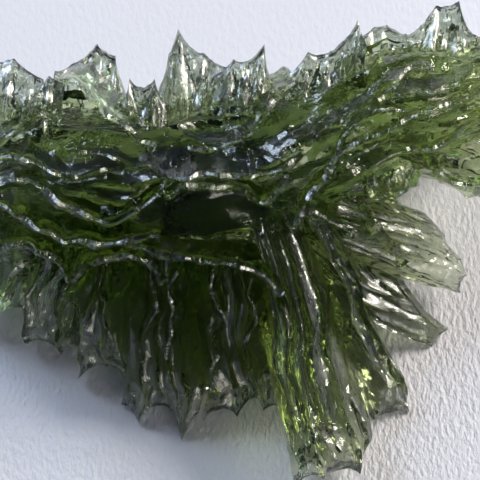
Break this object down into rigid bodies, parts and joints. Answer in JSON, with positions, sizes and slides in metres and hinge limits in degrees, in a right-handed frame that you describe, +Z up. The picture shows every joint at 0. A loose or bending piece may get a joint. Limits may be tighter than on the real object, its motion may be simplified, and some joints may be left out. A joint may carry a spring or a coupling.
{
  "type": "moldavite",
  "caption": "Raw natural green glass: a long deeply etched body with sharp cusped ridges, thin pointed sails along one side, and a fan of fluted fingers and spines on the other",
  "frame": {"origin": "Middle of the stone's outline seen from above, on the surface that it lies on", "axes": "+X along the stone's length towards the end with the twin spikes, +Y across it towards the side with the thin sails, so that the fluted fingers point to -Y, +Z up from the surface it lies on"},
  "size_m": [0.0373, 0.0286, 0.0103],
  "materials": {
    "moldavite_glass": "clear, deeply etched, bright on its crests"
  },
  "bodies": {
    "root": {"moldavite": "moldavite_glass"}
  },
  "joints": []
}
